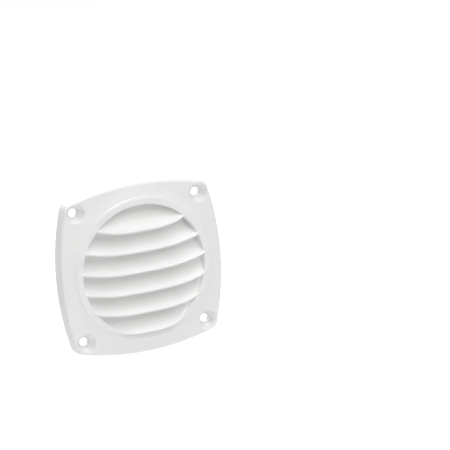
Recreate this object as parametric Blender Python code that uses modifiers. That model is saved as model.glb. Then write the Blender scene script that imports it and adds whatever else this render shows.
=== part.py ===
"""Round vent grille: a louvre plate moulded in one piece, held on a wall by four countersunk screws.

The plate is modelled lying down, with its back on the XY plane, and then stood up. Stood up, the wall
is the plane y = 0, the louvres look along -Y, and the origin is on the wall behind the opening's centre.
"""
import math

import bmesh
import bpy

# Driving dimensions, in metres.
OPENING_RADIUS = 0.0320
BAND_WIDTH = 0.0030
STEP_WIDTH = 0.0018
CONE_WIDTH = 0.0045
SIDE_MARGIN = 0.0017
SIDE_BULGE_RADIUS = 0.1310
CORNER_RADIUS = 0.0050

FACE_HEIGHT = 0.0060
CONE_RISE = 0.0013
STEP_RISE = 0.0010
BAND_RISE = 0.0001
EDGE_ROUNDING = 0.0020
RIM_ROUNDING = 0.0003
SKIRT_DRAFT = 0.0004
WALL = 0.0018

SCREW_HOLE_RADIUS = 0.0021
SCREW_SEAT_RADIUS = 0.0028
SCREW_SEAT_THICKNESS = 0.0014
COUNTERSINK_RADIUS = 0.0048
COUNTERSINK_CHAMFER = 0.00025
COUNTERSINK_TO_SIDE = 0.0017
BOSS_EXTRA = 0.0002
BOSS_SETBACK = 0.0005

SLAT_COUNT = 6
SLAT_THICKNESS = 0.0014
SLAT_NOSE = 0.0003
SLAT_TOP_GAP = 0.0087
SLAT_BOTTOM_GAP = 0.0046
SLAT_TIP_OVERLAP = 0.0013
SLAT_TIP_PROUD = 0.0003
SLAT_BOW = 0.0025
SLAT_DROOP = 0.0034
SLAT_RISE = 0.0070
SLAT_REAR_GAP = 0.0008
SLAT_BED = 0.0010

# How the curves are divided, and pure numbers that shape the slats.
SIDE_STEPS = 16
CORNER_STEPS = 6
ROUNDING_STEPS = 7
TURN_STEPS = 32
TRIM_STEPS = 96
SLAT_STATIONS = 28
SLAT_CURVE_STEPS = 6
LIP_POWER = 3.0
LIP_SINK = 0.35
SLAT_BEND_ALONG = 0.50
SLAT_BEND_UP = 0.32
SHARP_ANGLE = math.radians(14)
WELD_DISTANCE = 0.00001

# Worked out from the sizes above.
BAND_RADIUS = OPENING_RADIUS + BAND_WIDTH
STEP_RADIUS = BAND_RADIUS + STEP_WIDTH
CONE_RADIUS = STEP_RADIUS + CONE_WIDTH
HALF_WIDTH = CONE_RADIUS + SIDE_MARGIN
SIDE_CENTRE = SIDE_BULGE_RADIUS - HALF_WIDTH
CONE_SLOPE = CONE_RISE / CONE_WIDTH
BAND_HEIGHT = FACE_HEIGHT + CONE_RISE + STEP_RISE
RIM_HEIGHT = BAND_HEIGHT + BAND_RISE
COLLAR_RADIUS = OPENING_RADIUS + WALL


def corner_place(distance):
    """X and Y of the corner point that lies the given distance inside both bulging sides."""
    reach = SIDE_BULGE_RADIUS - distance
    return (math.sqrt(2 * reach ** 2 - SIDE_CENTRE ** 2) - SIDE_CENTRE) / 2


def outline_reach(angle, inset):
    """Distance from the axis to the outline moved inwards by inset, in the direction angle."""
    across = abs(math.cos(angle))
    along = abs(math.sin(angle))
    across, along = max(across, along), min(across, along)
    side = SIDE_BULGE_RADIUS - inset
    reach = math.sqrt(side ** 2 - (SIDE_CENTRE * along) ** 2) - SIDE_CENTRE * across
    centre = corner_place(CORNER_RADIUS)
    if along * reach > centre * (SIDE_BULGE_RADIUS - inset) / (SIDE_BULGE_RADIUS - CORNER_RADIUS):
        middle = centre * (across + along)
        reach = middle + math.sqrt(middle ** 2 - 2 * centre ** 2 + (CORNER_RADIUS - inset) ** 2)
    return reach


def section_angles():
    """Directions of the plate's cross-sections, closer together where they cross a round corner."""
    centre = corner_place(CORNER_RADIUS)
    turn = math.atan2(centre, centre + SIDE_CENTRE)
    side = []
    for i in range(SIDE_STEPS):
        around = turn * (2 * i / SIDE_STEPS - 1)
        side.append(math.atan2(SIDE_BULGE_RADIUS * math.sin(around),
                               SIDE_BULGE_RADIUS * math.cos(around) - SIDE_CENTRE))
    corner = []
    for i in range(CORNER_STEPS):
        around = turn + (math.pi / 2 - 2 * turn) * i / CORNER_STEPS
        corner.append(math.atan2(centre + CORNER_RADIUS * math.sin(around),
                                 centre + CORNER_RADIUS * math.cos(around)))
    return [quarter * math.pi / 2 + angle for quarter in range(4) for angle in side + corner]


def face_height(radius):
    """Height of the flat face, or of the shallow cone that rises from it towards the rim."""
    return FACE_HEIGHT + CONE_SLOPE * max(0.0, CONE_RADIUS - radius)


def shell_section(angle):
    """Closed cross-section of the plate, rim, collar and skirt as (radius, height) points."""
    outer = outline_reach(angle, SKIRT_DRAFT)
    face_edge = outline_reach(angle, SKIRT_DRAFT + EDGE_ROUNDING)
    inner = outline_reach(angle, SKIRT_DRAFT + WALL)
    flat_start = min(CONE_RADIUS, face_edge - RIM_ROUNDING)
    edge_top = face_height(face_edge)
    edge_foot = FACE_HEIGHT - EDGE_ROUNDING
    section = [
        (OPENING_RADIUS, RIM_HEIGHT - RIM_ROUNDING),
        (OPENING_RADIUS + RIM_ROUNDING, RIM_HEIGHT),
        (BAND_RADIUS - RIM_ROUNDING, BAND_HEIGHT),
        (BAND_RADIUS, BAND_HEIGHT - RIM_ROUNDING / 2),
        (STEP_RADIUS - RIM_ROUNDING, face_height(STEP_RADIUS) + RIM_ROUNDING / 2),
        (STEP_RADIUS + RIM_ROUNDING, face_height(STEP_RADIUS + RIM_ROUNDING)),
        (flat_start, face_height(flat_start)),
    ]
    for i in range(ROUNDING_STEPS + 1):
        around = math.pi / 2 * i / ROUNDING_STEPS
        section.append((face_edge + (outer - face_edge) * math.sin(around),
                        edge_foot + (edge_top - edge_foot) * math.cos(around)))
    section += [
        (outline_reach(angle, 0.0), 0.0),
        (outline_reach(angle, WALL), 0.0),
        (inner, edge_foot - WALL / 2),
        (inner - WALL / 2, FACE_HEIGHT - WALL),
        (min(CONE_RADIUS, inner - WALL), face_height(min(CONE_RADIUS, inner - WALL)) - WALL),
        (STEP_RADIUS, face_height(STEP_RADIUS) - WALL),
        (COLLAR_RADIUS, BAND_HEIGHT - WALL),
        (COLLAR_RADIUS, 0.0),
        (OPENING_RADIUS, 0.0),
    ]
    return section


def add_object(name, mesh, collection):
    """Put a mesh in a collection as an object, stood up from the XY plane."""
    part = bpy.data.objects.new(name, mesh)
    part.rotation_euler = (math.pi / 2, 0.0, 0.0)
    collection.objects.link(part)
    return part


def add_tool(name, mesh, collection):
    """A helper solid that is joined to the plate or cut out of it, and isn't a part itself."""
    tool = add_object(name, mesh, collection)
    tool.hide_render = True
    tool.display_type = "WIRE"
    return tool


def loft(bm, rings, closed):
    """Skin a row of point rings; a row that isn't closed on itself gets a cap at each end."""
    loops = [[bm.verts.new(point) for point in ring] for ring in rings]
    pairs = list(zip(loops, loops[1:] + loops[:1]))
    if not closed:
        pairs.pop()
        bm.faces.new(loops[0])
        bm.faces.new(loops[-1])
    for first, second in pairs:
        for i in range(len(first)):
            bm.faces.new((first[i - 1], first[i], second[i], second[i - 1]))


def finished_mesh(bm, name):
    """Turn the faces outwards and hand the mesh over."""
    bmesh.ops.recalc_face_normals(bm, faces=bm.faces[:])
    mesh = bpy.data.meshes.new(name)
    bm.to_mesh(mesh)
    bm.free()
    return mesh


def shell_mesh():
    """The plate with its raised rim, its collar and its open back, lofted round the axis."""
    bm = bmesh.new()
    rings = []
    for angle in section_angles():
        rings.append([(radius * math.cos(angle), radius * math.sin(angle), height)
                      for radius, height in shell_section(angle)])
    loft(bm, rings, closed=True)
    return finished_mesh(bm, "plate shell")


def turned(name, profile, steps, collection):
    """A solid turned about the local Z axis; its (radius, height) points run from top to bottom."""
    mesh = bpy.data.meshes.new(name)
    points = [(radius, 0.0, height) for radius, height in profile]
    mesh.from_pydata(points, [(i, i + 1) for i in range(len(points) - 1)], [])
    tool = add_tool(name, mesh, collection)
    screw = tool.modifiers.new("Turn", "SCREW")
    screw.steps = steps
    screw.render_steps = steps
    screw.use_merge_vertices = True
    screw.merge_threshold = WELD_DISTANCE
    return tool


def at_corners(tool, collection):
    """Move a turned tool to one screw position and mirror it to the other three."""
    place = corner_place(COUNTERSINK_RADIUS + COUNTERSINK_TO_SIDE)
    tool.location = (place, 0.0, place)
    mirror = tool.modifiers.new("Four corners", "MIRROR")
    mirror.use_axis = (True, True, False)
    mirror.use_mirror_merge = False
    mirror.mirror_object = add_object(tool.name + " mirror centre", None, collection)
    return tool


def make_bosses(collection):
    """The four tubes of material behind the screw holes."""
    radius = COUNTERSINK_RADIUS + BOSS_EXTRA
    top = FACE_HEIGHT - WALL / 2
    profile = [(0.0, top), (radius, top), (radius, BOSS_SETBACK), (0.0, BOSS_SETBACK)]
    return at_corners(turned("screw bosses", profile, TURN_STEPS, collection), collection)


def make_screw_holes(collection):
    """The cutter for the four dished countersinks and their screw holes."""
    over = FACE_HEIGHT + CONE_RISE
    seat = BOSS_SETBACK + SCREW_SEAT_THICKNESS
    rim = COUNTERSINK_RADIUS + COUNTERSINK_CHAMFER
    profile = [
        (0.0, over),
        (rim, over),
        (rim, FACE_HEIGHT),
        (COUNTERSINK_RADIUS - COUNTERSINK_CHAMFER, FACE_HEIGHT - 2 * COUNTERSINK_CHAMFER),
        (SCREW_SEAT_RADIUS, seat),
        (SCREW_HOLE_RADIUS, seat),
        (SCREW_HOLE_RADIUS, -WALL),
        (0.0, -WALL),
    ]
    return at_corners(turned("screw hole cutter", profile, TURN_STEPS, collection), collection)


def slat_section(x, tip_y):
    """Closed cross-section of one slat at x, as (height, y) points: top curve, under side and nose."""
    half_chord = math.sqrt((OPENING_RADIUS + SLAT_TIP_OVERLAP) ** 2 - tip_y ** 2)
    share = max(1.0 - abs(x / half_chord) ** LIP_POWER, -LIP_SINK)
    lip_height = RIM_HEIGHT + SLAT_TIP_PROUD + SLAT_BOW * share
    lip_y = tip_y - SLAT_DROOP * share
    run = SLAT_REAR_GAP - lip_height
    rise = tip_y + SLAT_RISE - lip_y
    under_floor = SLAT_REAR_GAP + SLAT_NOSE / 2
    top = []
    under = []
    for i in range(SLAT_CURVE_STEPS + 1):
        t = i / SLAT_CURVE_STEPS
        bend = 2 * t * (1 - t)
        height = lip_height + run * (bend * SLAT_BEND_ALONG + t * t)
        y = lip_y + rise * (bend * SLAT_BEND_UP + t * t)
        back = run * (2 * (1 - 2 * t) * SLAT_BEND_ALONG + 2 * t)
        up = rise * (2 * (1 - 2 * t) * SLAT_BEND_UP + 2 * t)
        length = math.hypot(back, up)
        back, up = back / length, up / length
        if i == 0:
            nose = [(height - up * depth, y + back * depth) for depth in (SLAT_THICKNESS - SLAT_NOSE, SLAT_NOSE)]
            height += back * SLAT_NOSE
            y += up * SLAT_NOSE
        top.append((height, y))
        if i < SLAT_CURVE_STEPS:
            under.append((max(height - up * SLAT_THICKNESS, under_floor), y + back * SLAT_THICKNESS))
        else:
            under.append((height, y + SLAT_THICKNESS / back))
    return top + under[::-1] + nose


def make_slats(tools):
    """The six slats, each lofted from side to side and trimmed to its bed in the rim and the collar."""
    bm = bmesh.new()
    reach = STEP_RADIUS
    first = OPENING_RADIUS - SLAT_TOP_GAP
    last = SLAT_BOTTOM_GAP - OPENING_RADIUS
    for number in range(SLAT_COUNT):
        tip_y = first + (last - first) * number / (SLAT_COUNT - 1)
        rings = []
        for station in range(SLAT_STATIONS + 1):
            x = reach * (2 * station / SLAT_STATIONS - 1)
            rings.append([(x, y, height) for height, y in slat_section(x, tip_y)])
        loft(bm, rings, closed=False)
    slats = add_tool("slats", finished_mesh(bm, "slats"), tools)
    tip_radius = OPENING_RADIUS + SLAT_TIP_OVERLAP + SLAT_TIP_PROUD
    over = 2 * RIM_HEIGHT
    profile = [
        (0.0, over),
        (tip_radius, over),
        (tip_radius, RIM_HEIGHT - SLAT_BED),
        (OPENING_RADIUS + SLAT_BED, RIM_HEIGHT - SLAT_BED),
        (OPENING_RADIUS + SLAT_BED, -WALL),
        (0.0, -WALL),
    ]
    bed = turned("slat bed", profile, TRIM_STEPS, tools)
    combine(slats, bed, "INTERSECT")
    return slats


def combine(part, tool, operation):
    """Add an exact Boolean of the tool to the part."""
    boolean = part.modifiers.new(operation.title() + " " + tool.name, "BOOLEAN")
    boolean.operation = operation
    boolean.solver = "EXACT"
    boolean.object = tool


def settle(part):
    """Turn the part's Booleans into its own mesh, weld what nearly meets and keep its creases crisp."""
    evaluated = part.evaluated_get(bpy.context.evaluated_depsgraph_get())
    mesh = bpy.data.meshes.new_from_object(evaluated)
    part.modifiers.clear()
    part.data = mesh
    bm = bmesh.new()
    bm.from_mesh(mesh)
    bmesh.ops.remove_doubles(bm, verts=bm.verts[:], dist=WELD_DISTANCE)
    bmesh.ops.dissolve_degenerate(bm, edges=bm.edges[:], dist=WELD_DISTANCE)
    bm.to_mesh(mesh)
    bm.free()
    mesh.shade_smooth()
    mesh.set_sharp_from_angle(angle=SHARP_ANGLE)


def gloss_white_plastic():
    """Glossy white ABS."""
    material = bpy.data.materials.new("gloss white plastic")
    material.use_nodes = True
    shader = material.node_tree.nodes["Principled BSDF"]
    shader.inputs["Base Color"].default_value = (0.85, 0.85, 0.85, 1.0)
    shader.inputs["Roughness"].default_value = 0.28
    shader.inputs["Metallic"].default_value = 0.0
    return material


def clear_scene():
    for item in list(bpy.data.objects):
        bpy.data.objects.remove(item, do_unlink=True)


def new_collection(name):
    collection = bpy.data.collections.new(name)
    bpy.context.scene.collection.children.link(collection)
    return collection


def main():
    clear_scene()
    parts = new_collection("round vent grille")
    tools = new_collection("cutters and joined solids")
    grille = add_object("vent_grille", shell_mesh(), parts)
    grille.data.materials.append(gloss_white_plastic())
    combine(grille, make_bosses(tools), "UNION")
    combine(grille, make_slats(tools), "UNION")
    combine(grille, make_screw_holes(tools), "DIFFERENCE")
    settle(grille)


main()
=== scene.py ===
import math

import bmesh
import bpy
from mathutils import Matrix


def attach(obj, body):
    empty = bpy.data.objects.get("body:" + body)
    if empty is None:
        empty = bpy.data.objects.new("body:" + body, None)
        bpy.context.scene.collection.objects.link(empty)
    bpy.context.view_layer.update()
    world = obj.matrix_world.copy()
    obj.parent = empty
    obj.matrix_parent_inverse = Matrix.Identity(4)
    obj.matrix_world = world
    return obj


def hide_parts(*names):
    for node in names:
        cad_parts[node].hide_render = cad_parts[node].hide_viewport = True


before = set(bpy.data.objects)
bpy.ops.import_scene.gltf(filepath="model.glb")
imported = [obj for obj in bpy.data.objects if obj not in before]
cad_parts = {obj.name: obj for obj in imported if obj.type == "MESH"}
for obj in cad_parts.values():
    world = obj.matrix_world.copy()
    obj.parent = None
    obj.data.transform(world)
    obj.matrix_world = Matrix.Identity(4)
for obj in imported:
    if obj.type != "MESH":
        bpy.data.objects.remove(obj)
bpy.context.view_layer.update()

# Camera. It stands 1.2 m off, to the vent's left and a little above it, and is tipped slightly over. Its
# long lens lets the square plate narrow only a little towards the far side.
CAMERA_PLACE = (-0.45443, -1.09997, 0.31827)
CAMERA_TURN = (75.751, 4.039, -25.578)
LENS = 202.4
SENSOR = 36.0
VIEW_END = 60.0

camera_data = bpy.data.cameras.new("camera")
camera_data.lens = LENS
camera_data.sensor_width = SENSOR
camera_data.clip_end = VIEW_END
camera_data.dof.use_dof = False
camera = bpy.data.objects.new("camera", camera_data)
camera.location = CAMERA_PLACE
camera.rotation_euler = [math.radians(angle) for angle in CAMERA_TURN]
bpy.context.collection.objects.link(camera)
bpy.context.scene.camera = camera

# Wall plate, raised rim and collar. One injection-moulded shell of even wall with an open back. Its
# sides bulge, its front edge is rounded over, and a shallow cone climbs from it to a stepped round rim.
# It is made lying face up, one ring of the skin after the other, and is stood up at the end.
MM = 0.001
RING_POINTS = 480

# Distances from the axis: the round parts first, then the outline with its bulging sides.
OPENING = 32.0 * MM
BAND_EDGE = 35.0 * MM
STEP_FOOT = 36.6 * MM
CONE_FOOT = 41.3 * MM
HALF_WIDTH = 43.0 * MM
BULGE = 131.0 * MM
CORNER = 5.0 * MM

# Heights over the wall that the vent is screwed to.
FACE = 6.0 * MM
CONE_TOP = 7.36 * MM
BAND = 8.3 * MM
RIM = 8.4 * MM

# Walls and roundings. A pair is a distance sideways and a distance up, in millimetres, from the corner
# that it rounds.
WALL = 1.8 * MM
DRAFT = 0.4 * MM
LIP_ROUND = 0.45 * MM
SHOULDER_ROUND = 1.8 * MM
SHOULDER_SET_IN = 0.5 * MM
STEP_HOLLOW = ((-0.5, 0.03), (-0.3, 0.0), (1.5, 0.0))
CONE_MARGIN = 0.3 * MM
ROUND_OVER = 2.0 * MM
ROUND_STEPS = 8
SKIRT_INSET = 0.1 * MM
SKIRT_KNEE = 0.9 * MM
EDGE_BREAK = 0.12 * MM
SHELL_CORNER = ((0.3, -0.9), (0.6, -0.25), (1.3, 0.0))
COLLAR_ROUND = 0.5 * MM


def clear_selection():
    if bpy.context.object and bpy.context.object.mode == "EDIT":
        bpy.ops.object.mode_set(mode="OBJECT")
    bpy.ops.object.select_all(action="DESELECT")


def name_active(name):
    """Give the object that was just added a name of its own."""
    piece = bpy.context.object
    piece.name = name
    piece.data.name = name
    return piece


def side_reach(angle, inset):
    """Distance from the axis to the bulging outline, moved in by inset, in the direction angle."""
    across, along = abs(math.cos(angle)), abs(math.sin(angle))
    across, along = max(across, along), min(across, along)
    centre = BULGE - HALF_WIDTH
    reach = math.sqrt((BULGE - inset) ** 2 - (centre * along) ** 2) - centre * across
    turn = (math.sqrt(2 * (BULGE - CORNER) ** 2 - centre ** 2) - centre) / 2
    if along * reach > turn * (BULGE - inset) / (BULGE - CORNER):
        middle = turn * (across + along)
        reach = middle + math.sqrt(middle ** 2 - 2 * turn ** 2 + (CORNER - inset) ** 2)
    return reach


def round_ring(radius, height):
    """A ring of the turned part of the skin, as reach and height in any direction."""
    return lambda angle: (radius, height)


def outline_ring(inset, height):
    """A ring that follows the outline of the plate."""
    return lambda angle: (side_reach(angle, inset), height)


def cone_height(radius):
    """The face is flat at the corners and climbs in a shallow cone towards the rim."""
    slope = (CONE_TOP - FACE) / (CONE_FOOT - STEP_FOOT)
    return FACE + slope * max(0.0, CONE_FOOT - radius)


def cone_foot_ring(angle):
    """The foot of the cone, or the start of the rounded edge where the sides cut the cone off."""
    reach = min(CONE_FOOT, side_reach(angle, DRAFT + ROUND_OVER) - CONE_MARGIN)
    return reach, cone_height(reach)


def round_over_ring(share):
    """One ring of the rounded front edge, from the face at share 0 to the skirt at share 1."""
    def place(angle):
        inner = side_reach(angle, DRAFT + ROUND_OVER)
        outer = side_reach(angle, DRAFT)
        top = cone_height(inner)
        foot = FACE - ROUND_OVER
        turn = share * math.pi / 2
        return inner + (outer - inner) * math.sin(turn), foot + (top - foot) * math.cos(turn)
    return place


def arc_rings(centre, radius, start, end, steps):
    """Rings of a small rounded edge in the turned part, as an arc about a (radius, height) centre."""
    rings = []
    for step in range(steps + 1):
        turn = math.radians(start + (end - start) * step / steps)
        rings.append(round_ring(centre[0] + radius * math.cos(turn), centre[1] + radius * math.sin(turn)))
    return rings


def place_ring(mesh, ring):
    """Put the selected ring of vertices where the ring function says, each in its own direction."""
    shape = bmesh.from_edit_mesh(mesh)
    for vertex in shape.verts:
        if vertex.select:
            angle = math.atan2(vertex.co.y, vertex.co.x)
            reach, height = ring(angle)
            vertex.co = (reach * math.cos(angle), reach * math.sin(angle), height)
    bmesh.update_edit_mesh(mesh)


# The lip round the opening, the flat band and the step's rounded shoulder.
skin = arc_rings((OPENING + LIP_ROUND, RIM - LIP_ROUND), LIP_ROUND, start=180, end=90, steps=4)
skin += arc_rings((BAND_EDGE - SHOULDER_SET_IN, BAND - SHOULDER_ROUND), SHOULDER_ROUND,
                  start=89, end=36, steps=8)

# The hollow at the step's foot, the cone, the rounded front edge and the skirt down to the wall.
for out, lift in STEP_HOLLOW:
    skin.append(round_ring(STEP_FOOT + out * MM, cone_height(STEP_FOOT + out * MM) + lift * MM))
skin.append(cone_foot_ring)
skin += [round_over_ring(step / ROUND_STEPS) for step in range(ROUND_STEPS + 1)]
skin += [outline_ring(SKIRT_INSET, SKIRT_KNEE), outline_ring(0.0, EDGE_BREAK), outline_ring(EDGE_BREAK, 0.0)]

# Round the skirt's edge and up the inside of the shell, to the underside of the face.
skin += [outline_ring(WALL - EDGE_BREAK, 0.0), outline_ring(WALL, EDGE_BREAK)]
skin += [outline_ring(WALL + inset * MM, FACE - WALL + drop * MM) for inset, drop in SHELL_CORNER]

# Under the cone and the band to the collar, down its outside and round its edge to its inner wall.
skin += [round_ring(STEP_FOOT, cone_height(STEP_FOOT) - WALL),
         round_ring(OPENING + WALL + COLLAR_ROUND, BAND - WALL),
         round_ring(OPENING + WALL, BAND - WALL - COLLAR_ROUND),
         round_ring(OPENING + WALL, EDGE_BREAK), round_ring(OPENING + WALL - EDGE_BREAK, 0.0),
         round_ring(OPENING + EDGE_BREAK, 0.0), round_ring(OPENING, EDGE_BREAK)]

clear_selection()
bpy.ops.mesh.primitive_circle_add(vertices=RING_POINTS, radius=OPENING)
plate = name_active("plate")
bpy.ops.object.mode_set(mode="EDIT")
bpy.ops.mesh.select_mode(type="EDGE")
bpy.ops.mesh.select_all(action="SELECT")
place_ring(plate.data, skin[0])
for ring in skin[1:]:
    bpy.ops.mesh.extrude_edges_indiv()
    place_ring(plate.data, ring)
bpy.ops.mesh.select_all(action="DESELECT")
bpy.ops.mesh.select_mode(type="VERT")
bpy.ops.mesh.select_non_manifold()
bpy.ops.mesh.bridge_edge_loops()
bpy.ops.mesh.select_all(action="SELECT")
bpy.ops.mesh.normals_make_consistent(inside=False)
bpy.ops.object.mode_set(mode="OBJECT")

# Louvre slats. Six gills moulded in one piece with the plate. Each starts at the back of the collar and
# comes forward and down in a slightly hollow curve to a rounded lip. The lip bows out and droops in the
# middle, and its tips run out to points over the flat band.
SLATS = 6
TOP_TIP = 23.3 * MM
PITCH = 10.14 * MM
TIP_REACH = 33.3 * MM
TIP_PROUD = 0.3 * MM
SLAT_WALL = 1.15 * MM
LIP_SOFT = 0.38 * MM
BOW = 2.48 * MM
DROOP = 3.4 * MM
CLIMB = 7.3 * MM
BACK_GAP = 0.8 * MM
ACROSS = 96
DEEP = 16

# The bow and the droop stay nearly full over the middle of a lip and die out at its tips. Past a tip the
# lip runs on inwards, but by no more than this share of the bow.
BOW_POWER = 3
PAST_TIP = -0.35

# How far back and how far up the curve has come at its bend. 0.5 of both would be a straight line.
BEND_BACK = 0.50
BEND_UP = 0.44


def slat_point(x, depth, tip):
    """Where the slat's hollow top runs, at x across the vent and at depth 0 (lip) to 1 (back)."""
    half_chord = math.sqrt(TIP_REACH ** 2 - tip ** 2)
    share = max(1.0 - abs(x / half_chord) ** BOW_POWER, PAST_TIP)
    lip_height = RIM + TIP_PROUD + BOW * share
    lip = tip - DROOP * share
    bend = 2 * depth * (1 - depth)
    height = lip_height + (BACK_GAP - lip_height) * (BEND_BACK * bend + depth ** 2)
    y = lip + (tip + CLIMB - lip) * (BEND_UP * bend + depth ** 2)
    return x, y, height


def apply_modifiers(piece):
    """Apply everything that is on the piece, top to bottom."""
    bpy.context.view_layer.objects.active = piece
    for modifier in list(piece.modifiers):
        bpy.ops.object.modifier_apply(modifier=modifier.name)


# Each slat is made as wide as the step's foot, past the opening, and is trimmed to the round bed below.
slats = []
for number in range(SLATS):
    clear_selection()
    bpy.ops.mesh.primitive_grid_add(x_subdivisions=ACROSS, y_subdivisions=DEEP, size=2.0)
    slat = name_active("slat_%d" % (number + 1))
    for vertex in slat.data.vertices:
        x, depth = vertex.co.x * STEP_FOOT, (1 + vertex.co.y) / 2
        vertex.co = slat_point(x, depth, TOP_TIP - PITCH * number)
    thick = slat.modifiers.new("wall", "SOLIDIFY")
    thick.thickness = SLAT_WALL
    thick.offset = -1.0
    thick.use_even_offset = True
    soft = slat.modifiers.new("soft lip", "BEVEL")
    soft.width = LIP_SOFT
    soft.segments = 4
    soft.limit_method = "ANGLE"
    soft.angle_limit = math.radians(50)
    apply_modifiers(slat)
    slats.append(slat)

# The round bed that the slats are trimmed to: a little into the collar's wall below the rim, and a little
# way out over the flat band above it, where the tips run out to points.
BED = [(0.0, 30.0), (33.6, 30.0), (33.6, 7.6), (33.0, 7.6), (33.0, 0.8), (0.0, 0.8)]
BED_STEPS = 240
WELD = 0.002 * MM


def spin_profile(name, profile, steps):
    """Spin a (radius, height) profile in millimetres round the axis, as a closed solid."""
    clear_selection()
    bpy.ops.mesh.primitive_circle_add(vertices=len(profile), radius=MM)
    solid = name_active(name)
    for vertex, (radius, height) in zip(solid.data.vertices, profile):
        vertex.co = (radius * MM, 0.0, height * MM)
    bpy.ops.object.mode_set(mode="EDIT")
    bpy.ops.mesh.select_all(action="SELECT")
    bpy.ops.mesh.spin(steps=steps, angle=2 * math.pi, center=(0, 0, 0), axis=(0, 0, 1))
    bpy.ops.mesh.select_all(action="SELECT")
    bpy.ops.mesh.remove_doubles(threshold=WELD)
    bpy.ops.mesh.dissolve_degenerate(threshold=WELD)
    bpy.ops.mesh.select_all(action="SELECT")
    bpy.ops.mesh.normals_make_consistent(inside=False)
    bpy.ops.object.mode_set(mode="OBJECT")
    return solid


def cut(piece, tool, operation):
    """Combine a solid with a piece by an exact Boolean, and throw the tool away."""
    boolean = piece.modifiers.new(operation.lower(), "BOOLEAN")
    boolean.operation = operation
    boolean.solver = "EXACT"
    boolean.object = tool
    apply_modifiers(piece)
    bpy.data.objects.remove(tool, do_unlink=True)


for slat in slats:
    cut(slat, spin_profile("bed", BED, BED_STEPS), "INTERSECT")

# Screw places. Each corner has a deep countersink with a softened edge and a small flat seat round the
# screw hole, and a round boss behind it carries the screw's pull to the wall.
SCREW_PLACE = 32.25 * MM
SCREW_STEPS = 72
BOSS = [(0.0, 5.1), (5.0, 5.1), (5.0, 0.7), (4.8, 0.5), (0.0, 0.5)]
DISH = [(0.0, 8.5), (5.05, 8.5), (5.05, 6.0), (4.92, 5.96), (4.82, 5.86), (4.75, 5.7),
        (3.0, 2.15), (2.72, 1.9), (2.25, 1.9), (2.1, 1.75), (2.1, -1.0), (0.0, -1.0)]

bosses = []
dishes = []
for side in (-1, 1):
    for end in (-1, 1):
        for profile, kept in ((BOSS, bosses), (DISH, dishes)):
            solid = spin_profile("screw place", profile, SCREW_STEPS)
            for vertex in solid.data.vertices:
                vertex.co.x += side * SCREW_PLACE
                vertex.co.y += end * SCREW_PLACE
            kept.append(solid)

# Everything is one moulding, so the plate, the bosses and the slats are joined, and the screw places are
# sunk into it. It is then stood up, and only edges sharper than the roundings stay crisp.
SEAM_WELD = 0.004 * MM
CRISP_FROM = 28

for solid in bosses + slats:
    cut(plate, solid, "UNION")
for solid in dishes:
    cut(plate, solid, "DIFFERENCE")

clear_selection()
plate.select_set(True)
bpy.context.view_layer.objects.active = plate
bpy.ops.object.mode_set(mode="EDIT")
bpy.ops.mesh.select_all(action="SELECT")
bpy.ops.mesh.remove_doubles(threshold=SEAM_WELD)
bpy.ops.mesh.dissolve_degenerate(threshold=SEAM_WELD)
bpy.ops.object.mode_set(mode="OBJECT")
plate.rotation_euler = (math.pi / 2, 0.0, 0.0)
bpy.ops.object.transform_apply(location=True, rotation=True, scale=True)
bpy.ops.object.shade_smooth_by_angle(angle=math.radians(CRISP_FROM))
vent = name_active("vent_moulding")

# White ABS. Injection moulded in a polished tool, so it is glossy with a faint orange peel, and its white
# is very slightly uneven where the melt cooled. The real orange peel is finer than a millimetre, which is
# too fine to show in the render, so it is drawn 3 mm wide.
WHITES = ("#F4F4F3", "#F8F8F7")
CLOUD_SIZE = 18.0 * MM
PEEL_SIZE = 3.0 * MM
PEEL_HEIGHT = 0.02 * MM


def from_hex(value):
    """sRGB hex to the linear colour that a shader takes."""
    shares = [int(value[i:i + 2], 16) / 255 for i in (1, 3, 5)]
    linear = [share / 12.92 if share <= 0.04045 else ((share + 0.055) / 1.055) ** 2.4 for share in shares]
    return linear + [1.0]


def add_node(tree, kind, settings=None, links=None, **sockets):
    """Add a node with its settings, its input values by name and its links into other nodes."""
    node = tree.nodes.new(kind)
    for name, value in (settings or {}).items():
        setattr(node, name, value)
    for name, value in sockets.items():
        node.inputs[name.replace("_", " ")].default_value = value
    for name, source in (links or {}).items():
        tree.links.new(source, node.inputs[name])
    return node


abs_white = bpy.data.materials.new("moulded_white_abs")
abs_white.use_nodes = True
tree = abs_white.node_tree
shader = tree.nodes["Principled BSDF"]
shader.inputs["IOR"].default_value = 1.54
shader.inputs["Metallic"].default_value = 0.0
place = add_node(tree, "ShaderNodeTexCoord").outputs["Object"]
cloud = add_node(tree, "ShaderNodeTexNoise", links={"Vector": place}, Scale=1 / CLOUD_SIZE, Detail=3.0)
peel = add_node(tree, "ShaderNodeTexNoise", links={"Vector": place}, Scale=1 / PEEL_SIZE, Detail=1.0)
# Sockets 6 and 7 of a mix are its two colours, and output 2 is the mixed one.
tone = add_node(tree, "ShaderNodeMix", {"data_type": "RGBA"}, {"Factor": cloud.outputs["Fac"]})
tone.inputs[6].default_value = from_hex(WHITES[0])
tone.inputs[7].default_value = from_hex(WHITES[1])
gloss = add_node(tree, "ShaderNodeMapRange", links={"Value": peel.outputs["Fac"]}, To_Min=0.27, To_Max=0.31)
bump = add_node(tree, "ShaderNodeBump", links={"Height": peel.outputs["Fac"]},
                Strength=0.06, Distance=PEEL_HEIGHT)
tree.links.new(tone.outputs[2], shader.inputs["Base Color"])
tree.links.new(gloss.outputs["Result"], shader.inputs["Roughness"])
tree.links.new(bump.outputs["Normal"], shader.inputs["Normal"])
vent.data.materials.clear()
vent.data.materials.append(abs_white)

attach(vent, "root")
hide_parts("vent_grille")

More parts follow.
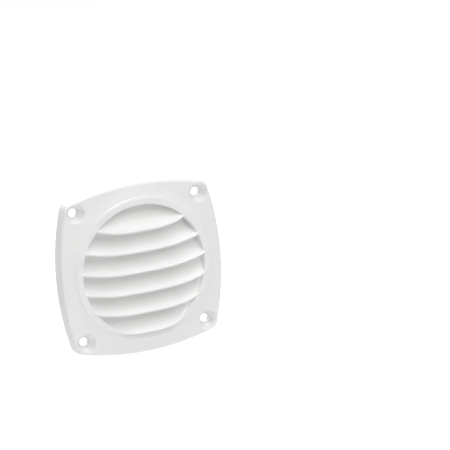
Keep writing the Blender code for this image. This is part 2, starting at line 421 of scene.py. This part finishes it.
# Studio. A pale floor well below the vent and white all round it. Five broad lamps stand far off: the front
# and top ones light the lips, the side ones the walls, and the one behind the deep parts of the louvres.
# The floor and the surroundings look white, but give the vent hardly any light of their own.
FLOOR_SIZE = 24.0
FLOOR_DROP = 0.25
FLOOR_GLOW = 0.45
WORLD_LIGHT = 0.02
WORLD_SEEN = 1.0
LAMP_AWAY = 3.0

# Each lamp's name, its rise and its turn from the front in degrees, its width in metres and its power in
# watts.
LAMPS = [("front", 42, -4, 2.0, 28.0),
         ("right", 42, 40, 2.0, 11.5),
         ("above", 77, 12, 2.0, 37.5),
         ("left", 12, -70, 1.2, 6.5),
         ("behind", 60, -165, 2.0, 56.0)]


def seen_rays(tree):
    """1 for camera, transmission and glossy rays, which see the background, and 0 for all others."""
    rays = add_node(tree, "ShaderNodeLightPath").outputs
    seen = rays["Is Camera Ray"]
    for other in ("Is Transmission Ray", "Is Glossy Ray"):
        either = add_node(tree, "ShaderNodeMath", {"operation": "MAXIMUM"}, {0: seen, 1: rays[other]})
        seen = either.outputs[0]
    return seen


clear_selection()
bpy.ops.mesh.primitive_plane_add(size=FLOOR_SIZE, location=(0.0, 0.0, -FLOOR_DROP))
floor = name_active("floor")
paint = bpy.data.materials.new("white_floor")
paint.use_nodes = True
tree = paint.node_tree
shader = tree.nodes["Principled BSDF"]
shader.inputs["Base Color"].default_value = from_hex("#F4F4F4")
shader.inputs["Roughness"].default_value = 0.9
shader.inputs["Emission Color"].default_value = from_hex("#FFFFFF")
glow = add_node(tree, "ShaderNodeMath", {"operation": "MULTIPLY"}, {0: seen_rays(tree)})
glow.inputs[1].default_value = FLOOR_GLOW
tree.links.new(glow.outputs[0], shader.inputs["Emission Strength"])
floor.data.materials.append(paint)

world = bpy.data.worlds.new("studio")
bpy.context.scene.world = world
world.use_nodes = True
tree = world.node_tree
surround = tree.nodes["Background"]
surround.inputs["Color"].default_value = from_hex("#FFFFFF")
level = add_node(tree, "ShaderNodeMapRange", links={"Value": seen_rays(tree)},
                 To_Min=WORLD_LIGHT, To_Max=WORLD_SEEN)
tree.links.new(level.outputs["Result"], surround.inputs["Strength"])

for name, rise, side, size, power in LAMPS:
    rise, side = math.radians(rise), math.radians(side)
    lamp_data = bpy.data.lights.new(name, "AREA")
    lamp_data.shape = "DISK"
    lamp_data.size = size
    lamp_data.energy = power
    lamp = bpy.data.objects.new(name, lamp_data)
    towards = (math.cos(rise) * math.sin(side), -math.cos(rise) * math.cos(side), math.sin(rise))
    lamp.location = [LAMP_AWAY * share for share in towards]
    lamp.rotation_euler = (-lamp.location).to_track_quat("-Z", "Y").to_euler()
    bpy.context.collection.objects.link(lamp)

bpy.context.scene.view_settings.view_transform = "Standard"
